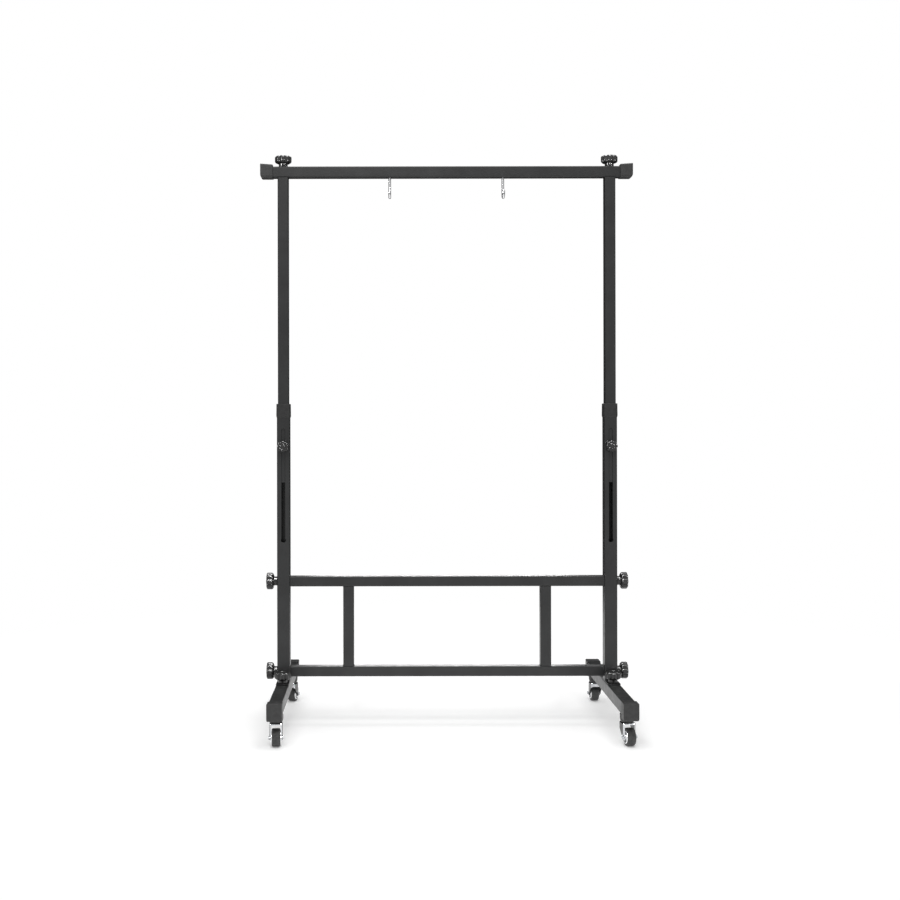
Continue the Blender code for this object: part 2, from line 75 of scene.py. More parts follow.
GAP = 0.0003                # clearance between touching pieces
WALL = 0.0015               # wall of the steel tubes
CORNER = 0.003              # outer corner radius of the steel tubes
CORNER_STEPS = 8            # facets round each corner
DEBURR = 0.0004             # chamfer on sawn tube ends
END_PLATE = 0.005           # threaded plate in each end of a rail
PUNCH = 0.004               # how far a cutter reaches past a wall

SLOT_WIDTH = 0.011
SLOT_BOTTOM = 0.5475        # height of the keyhole's centre
SLOT_TOP = 0.881
KEYHOLE_RADIUS = 0.0072
SLOT_EDGE = 0.0006          # rolled edge round slots and holes

STUD_RADIUS = 0.004
STUD_PITCH = 0.00125
STUD_POINTS = 20            # points round a stud
LOBES = 8
LOBE_POINTS = 20            # points round each lobe
BIG_KNOB = {
    "radius": 0.025, "neck_radius": 0.0135, "neck": 0.0105, "cone": 0.0075, "height": 0.032,
}
SMALL_KNOB = {
    "radius": 0.017, "neck_radius": 0.009, "neck": 0.006, "cone": 0.004, "height": 0.021,
}

HOOK_WIRE = 0.004           # radius of the bar that the hooks are bent from
HOOK_BEND = 0.014           # radius of the bowl, to the bar's middle
HOOK_TIP_RISE = 0.007       # from the bowl's centre to the tip
HOOK_PITCH = 0.0012
HOOK_POINTS = 32            # points round the bar
HOOK_BEND_STEPS = 40
BEAD = 0.0017               # weld bead size
BEAD_PITCH = 0.0021         # spacing of the ripples in a weld

STEM_RADIUS = 0.005
CUP_RIM = 0.0176            # radius of the bearing cup's lower edge
CUP_GROOVE = 0.0115         # height of its parting groove above that edge
TRAIL = 0.018               # wheel axle from the swivel axis
WHEEL_RADIUS = 0.025
WHEEL_WIDTH = 0.024
HUB_RADIUS = 0.0188
AXLE_RADIUS = 0.003
AXLE_HEAD_RADIUS = 0.0055
FORK_INNER = 0.028
FORK_SHEET = 0.0045         # thickness across a leg with its rolled edge
FORK_CROWN = 0.0022         # thickness of the crown and its turned-down edges
FORK_CORNER = 0.0056        # corner radius in plan
FORK_BEND = 0.0042          # outer radius between the crown and its edges
FORK_BRIDGE = 0.0005        # how far the front and back edges stand in from the legs' inner sides
FORK_FRONT = 0.0185         # crown edges ahead of and behind the swivel axis
FORK_BACK = -0.0165
FORK_TIP = 0.0085           # round end of each leg, about the axle
SKIRT_FRONT = 0.0058        # depth of the crown's front and back edges, below its top
SKIRT_BACK = 0.0125
KING_RADIUS = 0.004

# (corner radius, lower corner radius, heel, rise, top fall) of the two kinds of cap
FOOT_CAP = (0.0024, 0.0030, 0.0072, 0.0088, 0.0004)
BAR_CAP = (0.0036, 0.0054, 0.0062, 0.0062, 0.0026)
CAP_EDGE = 0.0009           # radius of a cap's outer edge


# ---------------------------------------------------------------- finishes
def finish_nodes(name, metallic):
    """New material with (itself, its node tree, its shader, the piece's own coordinates)."""
    made = bpy.data.materials.new(name)
    made.use_nodes = True
    tree = made.node_tree
    shader = tree.nodes["Principled BSDF"]
    shader.inputs["Metallic"].default_value = metallic
    place = tree.nodes.new("ShaderNodeTexCoord").outputs["Object"]
    return made, tree, shader, place


def noise(tree, place, scale, detail=3.0, stretch=None):
    """Fractal noise over the piece, stretched along its own axes if asked."""
    made = tree.nodes.new("ShaderNodeTexNoise")
    made.inputs["Scale"].default_value = scale
    made.inputs["Detail"].default_value = detail
    if stretch:
        mapping = tree.nodes.new("ShaderNodeMapping")
        mapping.inputs["Scale"].default_value = stretch
        tree.links.new(place, mapping.inputs["Vector"])
        place = mapping.outputs["Vector"]
    tree.links.new(place, made.inputs["Vector"])
    return made.outputs["Fac"]


def cells(tree, place, scale):
    """Distance to the nearest of many scattered points, for a moulded grain."""
    made = tree.nodes.new("ShaderNodeTexVoronoi")
    made.inputs["Scale"].default_value = scale
    tree.links.new(place, made.inputs["Vector"])
    return made.outputs["Distance"]


def ramp(tree, factor, low, high, start=0.35, stop=0.65):
    """Colour that runs from low to high as the factor goes from start to stop."""
    made = tree.nodes.new("ShaderNodeValToRGB")
    made.color_ramp.elements[0].position = start
    made.color_ramp.elements[1].position = stop
    made.color_ramp.elements[0].color = (*low, 1)
    made.color_ramp.elements[1].color = (*high, 1)
    tree.links.new(factor, made.inputs["Fac"])
    return made.outputs["Color"]


def spread(tree, factor, low, high):
    """Number that runs from low to high over the middle of a noise's range."""
    made = tree.nodes.new("ShaderNodeMapRange")
    made.inputs["From Min"].default_value = 0.3
    made.inputs["From Max"].default_value = 0.7
    made.inputs["To Min"].default_value = low
    made.inputs["To Max"].default_value = high
    tree.links.new(factor, made.inputs["Value"])
    return made.outputs["Result"]


def bump(tree, factor, height, below=None):
    """Normal raised by the factor, on top of another bump if there is one below."""
    made = tree.nodes.new("ShaderNodeBump")
    made.inputs["Distance"].default_value = height
    tree.links.new(factor, made.inputs["Height"])
    if below is not None:
        tree.links.new(below, made.inputs["Normal"])
    return made.outputs["Normal"]


def grey(value, warm=0.0):
    return (value * (1 + warm), value, value * (1 - warm))


def powder_coat():
    """Satin black powder coat: fine orange peel over a slow drift in shade and sheen."""
    made, tree, shader, place = finish_nodes("black_powder_coat", 0.0)
    tone = ramp(tree, noise(tree, place, 14, 5), grey(0.016, -0.02), grey(0.023, -0.02))
    sheen = spread(tree, noise(tree, place, 55, 4), 0.30, 0.40)
    fine = bump(tree, noise(tree, place, 2600, 2), 0.0000035)
    peel = bump(tree, noise(tree, place, 620, 2), 0.000012, fine)
    tree.links.new(tone, shader.inputs["Base Color"])
    tree.links.new(sheen, shader.inputs["Roughness"])
    tree.links.new(peel, shader.inputs["Normal"])
    return made


def cap_plastic(name, low, high):
    """Matte moulded plastic with an even spark-eroded grain."""
    made, tree, shader, place = finish_nodes(name, 0.0)
    tone = ramp(tree, noise(tree, place, 90, 4), grey(low), grey(high))
    grain = bump(tree, cells(tree, place, 1300), 0.000022)
    fine = bump(tree, noise(tree, place, 3100, 2), 0.000008, grain)
    sheen = spread(tree, noise(tree, place, 210, 3), 0.40, 0.52)
    tree.links.new(tone, shader.inputs["Base Color"])
    tree.links.new(sheen, shader.inputs["Roughness"])
    tree.links.new(fine, shader.inputs["Normal"])
    shader.inputs["Specular IOR Level"].default_value = 0.45
    return made


def knob_plastic():
    """Glossy black phenolic with faint flow lines and fingerprints."""
    made, tree, shader, place = finish_nodes("gloss_knob_plastic", 0.0)
    tone = ramp(tree, noise(tree, place, 60, 4), grey(0.004), grey(0.008))
    flow = bump(tree, noise(tree, place, 160, 2, (1, 1, 0.25)), 0.000012)
    sheen = spread(tree, noise(tree, place, 120, 4), 0.07, 0.16)
    tree.links.new(tone, shader.inputs["Base Color"])
    tree.links.new(sheen, shader.inputs["Roughness"])
    tree.links.new(flow, shader.inputs["Normal"])
    return made


def bright_metal(name, low, high, smooth, rough, wave, painted_edge_shade=None):
    """Plated steel with faint waves; the optional edge tone is painted shade, a darker base colour
    where the surface turns away from the view.
    """
    made, tree, shader, place = finish_nodes(name, 1.0)
    tone = ramp(tree, noise(tree, place, 180, 4), low, high)
    if painted_edge_shade is not None:
        # Painted shade: the base colour darkens towards grazing edges, standing in for the dark
        # outlines that shade gives.
        facing = tree.nodes.new("ShaderNodeLayerWeight").outputs["Facing"]
        painted_shade_share = ramp(tree, facing, grey(0), grey(1), 0.20, 0.46)
        blend = tree.nodes.new("ShaderNodeMix")
        blend.data_type = "RGBA"
        tree.links.new(painted_shade_share, blend.inputs["Factor"])
        tree.links.new(tone, blend.inputs["A"])
        blend.inputs["B"].default_value = (*grey(painted_edge_shade), 1)
        tone = blend.outputs["Result"]
    sheen = spread(tree, noise(tree, place, 320, 4), smooth, rough)
    tree.links.new(tone, shader.inputs["Base Color"])
    tree.links.new(sheen, shader.inputs["Roughness"])
    tree.links.new(bump(tree, noise(tree, place, 420, 2), wave), shader.inputs["Normal"])
    return made


def chrome():
    """Bright chrome plate with faint polishing waves and smudges."""
    return bright_metal("chrome_plate", (0.80, 0.81, 0.82), (0.88, 0.88, 0.89), 0.07, 0.16,
                        0.000012)


def bright_zinc():
    """Blue-white zinc plating on the pressed forks, a little softer than the polished hooks, with
    painted shade darkening its edges that turn away from the view.
    """
    return bright_metal("bright_zinc_plate", (0.52, 0.53, 0.55), (0.68, 0.69, 0.71), 0.12, 0.22,
                        0.000014, painted_edge_shade=0.05)


def zinc():
    """Dull zinc plating on screws and pins."""
    return bright_metal("zinc_plate", (0.46, 0.47, 0.49), (0.66, 0.67, 0.68), 0.24, 0.42,
                        0.00002)


def tyre_rubber():
    """Grey-black wheel tread, dusty and slightly scuffed."""
    made, tree, shader, place = finish_nodes("tyre_rubber", 0.0)
    tone = ramp(tree, noise(tree, place, 130, 5), grey(0.030), grey(0.052))
    fine = bump(tree, noise(tree, place, 1900, 3), 0.00002)
    scuff = bump(tree, noise(tree, place, 260, 3), 0.00003, fine)
    sheen = spread(tree, noise(tree, place, 240, 4), 0.38, 0.58)
    tree.links.new(tone, shader.inputs["Base Color"])
    tree.links.new(sheen, shader.inputs["Roughness"])
    tree.links.new(scuff, shader.inputs["Normal"])
    return made


FINISHES = {
    "black_paint": powder_coat(),
    "cap_plastic": cap_plastic("matte_cap_plastic", 0.028, 0.038),
    "collar_plastic": cap_plastic("dark_collar_plastic", 0.018, 0.026),
    "knob_plastic": knob_plastic(),
    "chrome": chrome(),
    "bright_zinc": bright_zinc(),
    "zinc": zinc(),
    "tyre_rubber": tyre_rubber(),
}


# ---------------------------------------------------------------- mesh tools
def arc(middle, radius, start, sweep, steps):
    """Points on an arc, both ends included; the angles are in degrees."""
    points = []
    for step in range(steps + 1):
        angle = math.radians(start + sweep * step / steps)
        points.append(Vector(middle) + radius * Vector((math.cos(angle), math.sin(angle))))
    return points


def rounded(low, high, radius, steps=CORNER_STEPS, below=None):
    """Anticlockwise outline of a rectangle with round corners; below is for the lower two."""
    points = []
    spots = ((high[0], high[1]), (low[0], high[1]), (low[0], low[1]), (high[0], low[1]))
    signs = ((-1, -1), (1, -1), (1, 1), (-1, 1))
    for corner, (spot, sign) in enumerate(zip(spots, signs)):
        reach = radius if below is None or corner < 2 else below
        centre = (spot[0] + sign[0] * reach, spot[1] + sign[1] * reach)
        points += arc(centre, reach, 90 * corner, 90, steps)
    return points


def square(width, height, radius, steps=CORNER_STEPS):
    return rounded((-width / 2, -height / 2), (width / 2, height / 2), radius, steps)


def circle(radius, count):
    turns = [math.tau * i / count for i in range(count)]
    return [Vector((radius * math.cos(turn), radius * math.sin(turn))) for turn in turns]


def ring(outline, z):
    return [Vector((point.x, point.y, z)) for point in outline]


def stretched(radius, length, steps=16):
    """Outline of a slot of that half width, centred, with its length along local Y."""
    half = length / 2 - radius
    return arc((0, half), radius, 0, 180, steps) + arc((0, -half), radius, 180, 180, steps)


def axes(origin, x_axis, z_axis):
    """Placement with its origin, local X and local Z as given."""
    z_axis = Vector(z_axis).normalized()
    x_axis = Vector(x_axis).normalized()
    turn = Matrix((x_axis, z_axis.cross(x_axis), z_axis)).transposed().to_4x4()
    return Matrix.Translation(Vector(origin)) @ turn


def loft(name, rings, closed=False, matrix=None):
    """Join rings of equal length into one solid; the ends are capped unless the loop closes."""
    mesh = bmesh.new()
    loops = [[mesh.verts.new(point) for point in points] for points in rings]
    pairs = list(zip(loops, loops[1:]))
    if closed:
        pairs.append((loops[-1], loops[0]))
    else:
        mesh.faces.new(loops[0][::-1])
        mesh.faces.new(loops[-1])
    for lower, upper in pairs:
        count = len(lower)
        for i in range(count):
            j = (i + 1) % count
            mesh.faces.new((lower[i], lower[j], upper[j], upper[i]))
    bmesh.ops.recalc_face_normals(mesh, faces=mesh.faces[:])
    data = bpy.data.meshes.new(name)
    mesh.to_mesh(data)
    mesh.free()
    if matrix is not None:
        data.transform(matrix)
    return data


def boolean(data, *tools, operation="DIFFERENCE"):
    """The mesh after each tool's mesh has been cut out of it, or kept in common with it."""
    made = bpy.data.objects.new("blank", data)
    scene.collection.objects.link(made)
    for tool in tools:
        blade = bpy.data.objects.new("blade", tool)
        scene.collection.objects.link(blade)
        step = made.modifiers.new("cut", "BOOLEAN")
        step.operation = operation
        step.solver = "EXACT"
        step.object = blade
        graph = bpy.context.evaluated_depsgraph_get()
        result = bpy.data.meshes.new_from_object(made.evaluated_get(graph), depsgraph=graph)
        made.modifiers.clear()
        made.data = result
        bpy.data.objects.remove(blade)
    result = made.data
    bpy.data.objects.remove(made)
    return result


def joined(name, parts):
    """One mesh with all the parts' faces, each part still its own closed shell."""
    mesh = bmesh.new()
    for part in parts:
        mesh.from_mesh(part)
    data = bpy.data.meshes.new(name)
    mesh.to_mesh(data)
    mesh.free()
    return data


def piece(name, data, finish, rides_with, *stands_for, sharp=35):
    """Put a finished mesh into the scene, on the body of the node that it rides with."""
    data.materials.clear()
    data.materials.append(FINISHES[finish])
    data.shade_smooth()
    data.set_sharp_from_angle(angle=math.radians(sharp))
    made = bpy.data.objects.new(name, data)
    scene.collection.objects.link(made)
    made.modifiers.new("even_shading", "WEIGHTED_NORMAL").keep_sharp = True
    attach(made, BODY_OF[rides_with])
    if stands_for:
        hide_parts(*stands_for)
    return made


def drill(origin, direction, radius, length, count=32):
    """Cutter for a round hole from origin along direction."""
    direction = Vector(direction).normalized()
    side = Z_AXIS if abs(direction.z) < 0.9 else X_AXIS
    rings = [ring(circle(radius, count), z) for z in (0, length)]
    return loft("drill", rings, matrix=axes(origin, side, direction))


def middle(node):
    low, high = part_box(node)
    return (low + high) / 2


# ---------------------------------------------------------------- tubes
def along(node):
    """(placement, width, height, half length) of a straight node, local Z along its length."""
    low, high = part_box(node)
    size = high - low
    axis = max(range(3), key=lambda i: size[i])
    centre = (low + high) / 2
    if axis == 0:
        return axes(centre, Y_AXIS, X_AXIS), size.y, size.z, size.x / 2
    if axis == 1:
        return axes(centre, -X_AXIS, Y_AXIS), size.x, size.z, size.y / 2
    return axes(centre, X_AXIS, Z_AXIS), size.x, size.y, size.z / 2


def tube(node, *cutters, plated=False):
    """Square tube with sawn, deburred ends; a plated one has a threaded plate in each end."""
    placement, width, height, half = along(node)
    outer = square(width, height, CORNER)
    eased = square(width - 2 * DEBURR, height - 2 * DEBURR, CORNER - DEBURR)
    bore = square(width - 2 * WALL, height - 2 * WALL, CORNER - WALL)
    rings = [ring(eased, -half), ring(outer, DEBURR - half),
             ring(outer, half - DEBURR), ring(eased, half)]
    if plated:
        thread = [point.normalized() * (STUD_RADIUS + GAP) for point in outer]
        inner = half - END_PLATE
        rings += [ring(thread, half), ring(thread, inner), ring(bore, inner),
                  ring(bore, -inner), ring(thread, -inner), ring(thread, -half)]
    else:
        rings += [ring(bore, half), ring(bore, -half)]
    data = loft(node, rings, closed=True, matrix=placement)
    if cutters:
        data = boolean(data, *cutters)
    return piece(f"{node}_tube", data, "black_paint", node, node)


def slot_cutters(side):
    """Keyhole slot through the lower post's front wall, with an eased edge."""
    low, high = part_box(f"lower_post_{side}")
    x = (low.x + high.x) / 2
    tools = []
    half_width = SLOT_WIDTH / 2
    shapes = (
        ((SLOT_BOTTOM + SLOT_TOP - half_width) / 2, half_width,
         SLOT_TOP - SLOT_BOTTOM + half_width),
        (SLOT_BOTTOM, KEYHOLE_RADIUS, 2 * KEYHOLE_RADIUS),
    )
    profile = ((0.001, SLOT_EDGE + 0.001), (-SLOT_EDGE, 0), (-PUNCH, 0))
    for z, radius, length in shapes:
        rings = [ring(stretched(radius + extra, length + 2 * extra + 0.0001), depth)
                 for depth, extra in profile]
        tools.append(loft("slot", rings, matrix=axes((x, low.y, z), X_AXIS, -Y_AXIS)))
    return tools


def bead(start, stop, out, up):
    """Rippled fillet weld from start to stop, in the corner between the directions out and up."""
    start, stop, out, up = Vector(start), Vector(stop), Vector(out), Vector(up)
    run = stop - start
    count = max(int(run.length / BEAD_PITCH * 6), 12)
    rings = []
    for step in range(count + 1):
        share = step / count
        taper = math.sqrt(max(1 - (2 * share - 1) ** 6, 0.04))
        wave = 1 + 0.10 * math.cos(math.tau * share * run.length / BEAD_PITCH)
        reach = BEAD * taper * wave
        centre = start + run * share
        points = [centre - 0.0001 * (out + up)]
        for angle in range(0, 91, 15):
            turn = math.radians(angle)
            belly = reach * (0.80 + 0.20 * abs(math.cos(2 * turn)))
            points.append(centre + belly * (math.cos(turn) * out + math.sin(turn) * up))
        rings.append(points)
    return loft("bead", rings)


# ---------------------------------------------------------------- caps, plates and collars
def foot_plate(node, side):
    """Steel plate with eased edges and a hole for each base knob's stud."""
    low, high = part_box(node)
    ease = 0.0006
    outline = [rounded((low.x + e, low.y + e), (high.x - e, high.y - e), CORNER + 0.001 - e)
               for e in (ease, ease / 3, 0)]
    rings = [ring(outline[0], low.z), ring(outline[1], low.z + ease / 3),
             ring(outline[2], low.z + ease), ring(outline[2], high.z - ease),
             ring(outline[1], high.z - ease / 3), ring(outline[0], high.z)]
    x = middle(node).x
    holes = []
    for end in ENDS:
        y = middle(f"base_knob_{end}_{side}").y
        holes.append(drill((x, y, low.z - PUNCH), Z_AXIS, STUD_RADIUS + GAP, 3 * PUNCH))
    piece(f"{node}_steel", boolean(loft(node, rings), *holes), "black_paint", node, node)


def collar(node, side):
    """Moulded guide collar: eased top, tapered skirt, lip round the inner tube."""
    low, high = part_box(node)
    x = (low.x + high.x) / 2
    size = high.x - low.x
    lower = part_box(f"lower_post_{side}")
    seat = lower[1].z + GAP
    around_lower = lower[1].x - lower[0].x + 2 * GAP
    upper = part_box(f"upper_post_{side}")
    around_upper = upper[1].x - upper[0].x + 2 * GAP
    corner = CORNER + 0.001
    skirt = 0.0042
    taper = 0.0013
    draft = 0.0005
    brow = 0.0009
    outside = [(low.z, taper), (low.z + skirt * 0.5, taper * 0.5), (low.z + skirt, 0.0001),
               (low.z + skirt * 1.4, 0), (low.z + skirt * 3, 0.0001)]
    outside += [(high.z - brow * (1 - math.sin(turn)), draft + brow * (1 - math.cos(turn)))
                for turn in (0, 0.4, 0.8, 1.2, math.pi / 2)]
    rings = [ring(square(size - 2 * e, size - 2 * e, corner - e), z) for z, e in outside]
    rings += [
        ring(square(around_upper + 0.0008, around_upper + 0.0008, CORNER + GAP), high.z),
        ring(square(around_upper, around_upper, CORNER + GAP), high.z - 0.0006),
        ring(square(around_upper, around_upper, CORNER + GAP), seat),
        ring(square(around_lower, around_lower, CORNER + GAP), seat),
        ring(square(around_lower, around_lower, CORNER + GAP), low.z),
    ]
    data = loft(node, rings, closed=True, matrix=Matrix.Translation((x, 0, 0)))
    piece(f"{node}_moulding", data, "collar_plastic", node, node)


def end_cap(node, tube_node, outwards, corner, lower_corner, heel, rise, top_fall):
    """Push-on cap, rounded under its outer end; its top falls towards the mouth.

    The rounding is heel long and rise high.
    """
    low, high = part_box(node)
    tube_low, tube_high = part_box(tube_node)
    lengthwise = 0 if abs(outwards.x) > 0.5 else 1
    across = 1 - lengthwise
    depth = high[lengthwise] - low[lengthwise]
    way = 1 if outwards[lengthwise] > 0 else -1
    face = high[lengthwise] if way > 0 else low[lengthwise]
    lip = 0.0005

    def standing(outline, s):
        """The outline as an upright ring, at the distance s from the outer face."""
        points = []
        for point in outline:
            spot = Vector((0, 0, point.y))
            spot[across] = point.x
            spot[lengthwise] = face - way * s
            points.append(spot)
        return points

    def station(s, inset, bottom, top):
        """Outer ring of the cap at the distance s from the outer face."""
        outline = rounded((low[across] + inset, bottom), (high[across] - inset, top),
                          corner - inset, below=lower_corner - inset)
        return standing(outline, s)

    def top_at(s):
        return high.z - top_fall * s / depth

    bore = rounded((tube_low[across] - GAP, tube_low.z - GAP),
                   (tube_high[across] + GAP, tube_high.z + GAP), CORNER + GAP)
    tube_end = abs(tube_high[lengthwise] if way > 0 else tube_low[lengthwise])
    bore_end = abs(face) - tube_end - GAP
    rings = [standing(bore, s) for s in (bore_end, depth)]
    rings += [station(depth, lip, low.z + lip, top_at(depth) - lip),
              station(depth - 0.0006, 0, low.z, top_at(depth)),
              station(depth * 0.6, 0, low.z, top_at(depth * 0.6))]
    for step in range(13):
        turn = math.radians(7.5 * step)
        s = CAP_EDGE + (heel - CAP_EDGE) * (1 - math.sin(turn))
        bottom = low.z + (rise - CAP_EDGE) * (1 - math.cos(turn))
        rings.append(station(s, 0, bottom, top_at(s)))
    for angle in (30, 60, 90):
        turn = math.radians(angle)
        inset = CAP_EDGE * (1 - math.cos(turn))
        s = CAP_EDGE * (1 - math.sin(turn))
        rings.append(station(s, inset, low.z + rise - CAP_EDGE + inset, top_at(s) - inset))
    piece(f"{node}_moulding", loft(node, rings), "cap_plastic", node, node)


# ---------------------------------------------------------------- knobs
def knob(node, outwards, size):
    """Eight-lobed star knob with a recessed disc in its face and a threaded steel stud."""
    low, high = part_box(node)
    outwards = Vector(outwards)
    centre = (low + high) / 2
    reach = max(outwards.dot(low), outwards.dot(high))
    inner = min(outwards.dot(low), outwards.dot(high))
    origin = centre + outwards * (reach - size["height"] - outwards.dot(centre))
    side = X_AXIS if abs(outwards.x) < 0.5 else Y_AXIS
    placement = axes(origin, side, outwards)
    radius, neck_radius, height = size["radius"], size["neck_radius"], size["height"]
    neck, head = size["neck"], size["neck"] + size["cone"]
    edge = radius * 0.14
    depth = radius * 0.15
    under = head - neck
    # (height, outermost radius, how far the valleys between the lobes are sunk, 0 to 1)
    profile = [
        (0, neck_radius * 0.93, 0), (neck * 0.06, neck_radius * 0.99, 0),
        (neck * 0.16, neck_radius, 0), (neck * 0.80, neck_radius * 0.985, 0),
        (neck * 0.92, neck_radius * 1.05, 0.05),
    ]
    cone_start = neck_radius * 1.12
    for angle in range(0, 91, 15):
        turn = math.radians(angle)
        profile.append((neck + under * 0.9 * (1 - math.cos(turn)),
                        cone_start + (radius - cone_start) * math.sin(turn),
                        0.2 + 0.8 * angle / 90))
    profile.append(((head + height) / 2, radius, 1))
    for angle in range(0, 91, 15):
        turn = math.radians(angle)
        profile.append((height - edge * (1 - math.sin(turn)),
                        radius - edge * (1 - math.cos(turn)), 1 - 0.25 * angle / 90))
    profile += [
        (height, radius * 0.70, 0.3), (height - radius * 0.006, radius * 0.56, 0),
        (height - radius * 0.04, radius * 0.535, 0), (height - radius * 0.045, radius * 0.50, 0),
        (height - radius * 0.012, radius * 0.475, 0), (height - radius * 0.004, radius * 0.42, 0),
        (height - radius * 0.002, radius * 0.10, 0),
    ]
    count = LOBES * LOBE_POINTS
    rings = []
    for z, reach_out, lobed in profile:
        points = []
        for i in range(count):
            turn = math.tau * i / count
            hollow = 1 - abs(math.cos(turn * LOBES / 2)) ** 0.85
            out = reach_out - depth * lobed * hollow
            points.append(Vector((out * math.cos(turn), out * math.sin(turn), z)))
        rings.append(points)
    data = loft(node, rings, matrix=placement)
    piece(f"{node}_head", data, "knob_plastic", node, node, sharp=50)

    length = reach - size["height"] - inner
    turns = int(length / STUD_PITCH)
    root = 0.87
    lead = 0.0006
    rings = [ring(circle(STUD_RADIUS * 0.8, STUD_POINTS), -length)]
    for step in range(turns * 2):
        z = -length + lead + step * (length - 2 * lead) / (turns * 2)
        rings.append(ring(circle(STUD_RADIUS * (1 if step % 2 else root), STUD_POINTS), z))
    rings.append(ring(circle(STUD_RADIUS * root, STUD_POINTS), 0.0015))
    data = loft(f"{node}_stud", rings, matrix=placement)
    piece(f"{node}_stud", data, "zinc", node, node, sharp=25)


# ---------------------------------------------------------------- hooks
def hook(node):
    """Polished J-hook bent from round bar, with a domed tip and a threaded shank in the bar."""
    low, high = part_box(node)
    x = (low.x + high.x) / 2
    centre_z = low.z + HOOK_WIRE + HOOK_BEND
    tip_z = centre_z + HOOK_TIP_RISE
    bar_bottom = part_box("top_bar")[0].z
    half_pitch = HOOK_PITCH / 2
    # (y, z, how far the bar has turned, radius) along the bar's middle
    route = [(0, high.z, 0, HOOK_WIRE * 0.8), (0, high.z - half_pitch, 0, HOOK_WIRE * 0.97)]
    z = high.z - HOOK_PITCH
    while z > bar_bottom + 0.001:
        route += [(0, z, 0, HOOK_WIRE * 0.88), (0, z - half_pitch, 0, HOOK_WIRE * 0.99)]
        z -= HOOK_PITCH
    route += [(0, bar_bottom + 0.0004, 0, HOOK_WIRE),
              (0, (bar_bottom + centre_z) / 2, 0, HOOK_WIRE)]
    for step in range(HOOK_BEND_STEPS + 1):
        turn = math.pi * step / HOOK_BEND_STEPS
        route.append((HOOK_BEND * (math.cos(turn) - 1), centre_z - HOOK_BEND * math.sin(turn),
                      turn, HOOK_WIRE))
    for angle in (0, 20, 40, 60, 75, 86):
        turn = math.radians(angle)
        route.append((-2 * HOOK_BEND, tip_z - HOOK_WIRE * (1 - math.sin(turn)), math.pi,
                      HOOK_WIRE * math.cos(turn)))
    rings = []
    for y, z, turn, radius in route:
        placement = Matrix.Translation((x, y, z)) @ Matrix.Rotation(-turn, 4, "X")
        rings.append([placement @ point for point in ring(circle(radius, HOOK_POINTS), 0)])
    piece(f"{node}_bar", loft(node, rings), "chrome", node, node, sharp=25)


def dress(node, finish):
    """A node whose own shape is shown, with its full finish."""
    shown = frame["nodes"][node]
    shown.data.materials.clear()
    shown.data.materials.append(FINISHES[finish])


# ---------------------------------------------------------------- casters
def turned(name, profile, count=64, closed=False, matrix=None):
    """Solid of revolution about local Z from (radius, z) points."""
    return loft(name, [ring(circle(radius, count), z) for radius, z in profile], closed, matrix)


def stem_and_cup(node):
    """Swivel bearing: black dust cup with a parting groove, threaded stem above, rivet below."""
    low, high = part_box(node)
    centre = middle(node)
    placement = Matrix.Translation((centre.x, centre.y, 0))
    place = node.replace("caster_stem_", "")
    side = place.split("_")[1]
    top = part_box(f"foot_beam_{side}")[0].z - GAP
    fork_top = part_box(f"caster_fork_{place}")[1].z
    bottom = fork_top + 0.0004
    radius = (high.x - low.x) / 2
    groove = bottom + CUP_GROOVE
    cup = [
        (KING_RADIUS, top), (radius * 0.93, top), (radius * 0.985, top - 0.0004),
        (radius, top - 0.0013), (radius, groove + 0.0006), (radius * 0.965, groove + 0.0004),
        (radius * 0.965, groove - 0.0002), (radius * 0.995, groove - 0.0005),
        (radius * 0.985, groove - 0.0022), (radius * 0.95, bottom + 0.0045),
        (CUP_RIM * 1.02, bottom + 0.0008), (CUP_RIM, bottom), (KING_RADIUS, bottom),
    ]
    data = turned(node, cup, matrix=placement, closed=True)
    piece(f"{node}_cup", data, "cap_plastic", node, node)
    stem = [(STUD_RADIUS, top - 0.004)]
    steps = 2 * int((high.z - top) / STUD_PITCH)
    for step in range(steps):
        stem.append((STEM_RADIUS * (0.88 if step % 2 else 1),
                     top + step * (high.z - top - 0.0006) / steps))
    stem += [(STEM_RADIUS * 0.9, high.z - 0.0005), (STEM_RADIUS * 0.78, high.z)]
    rivet_top = low.z + 0.0033
    shank = KING_RADIUS - GAP
    rivet = [(0.002, low.z), (0.0048, low.z + 0.0004), (0.0062, low.z + 0.0013),
             (0.0068, low.z + 0.0027), (0.0066, rivet_top), (shank, rivet_top),
             (shank, top - 0.002)]
    data = joined(node, [turned(node, stem, 32), turned(node, rivet, 32)])
    data.transform(placement)
    piece(f"{node}_pin", data, "zinc", node, node)


